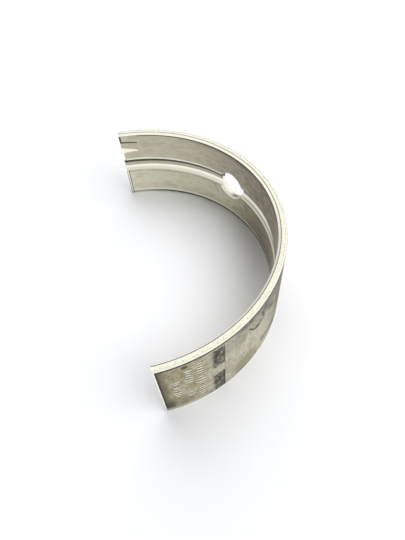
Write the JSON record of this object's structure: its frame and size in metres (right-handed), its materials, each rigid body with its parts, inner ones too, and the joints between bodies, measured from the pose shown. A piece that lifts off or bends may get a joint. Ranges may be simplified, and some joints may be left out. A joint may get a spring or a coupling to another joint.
{
  "type": "engine main bearing shell",
  "caption": "Half-round plain bearing shell with an oil groove round its bore, a round feed hole through the groove and a pressed locating lug at one joint face.",
  "frame": {"origin": "on the bearing's axis, midway between its two side faces", "axes": "+Z along the bearing's axis, up as the shell stands on one side face; +X from the axis to the crown of the arc; +Y towards the joint face that has the lug"},
  "size_m": [0.0461, 0.0958, 0.0284],
  "materials": {
    "bearing_strip": "satin steel back with a dull grey bearing lining on the bore and bright cut edges"
  },
  "bodies": {
    "root": {"shell": "bearing_strip"}
  },
  "joints": []
}
